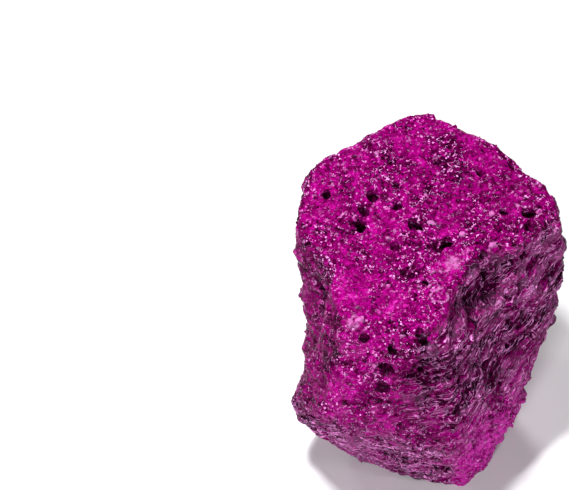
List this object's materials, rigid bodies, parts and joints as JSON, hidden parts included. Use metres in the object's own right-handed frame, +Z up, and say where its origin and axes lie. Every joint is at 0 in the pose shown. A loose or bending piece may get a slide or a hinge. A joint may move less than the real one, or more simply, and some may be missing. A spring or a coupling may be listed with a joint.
{
  "type": "raw ruby crystal",
  "caption": "Raw ruby in one rough, porous, granular chunk with broken facets, a pitted top and a flat face that it rests on.",
  "frame": {"origin": "on the flat resting face, under the middle of the stone's bounds", "axes": "+Z up from the resting face, -Y to the front with the hollow under the top's tip, +X to the right seen from the front"},
  "size_m": [0.0272, 0.0294, 0.0295],
  "materials": {
    "ruby": "rough, sugary, semi-translucent magenta with a glassy sparkle"
  },
  "bodies": {
    "root": {"ruby_crystal": "ruby"}
  },
  "joints": []
}
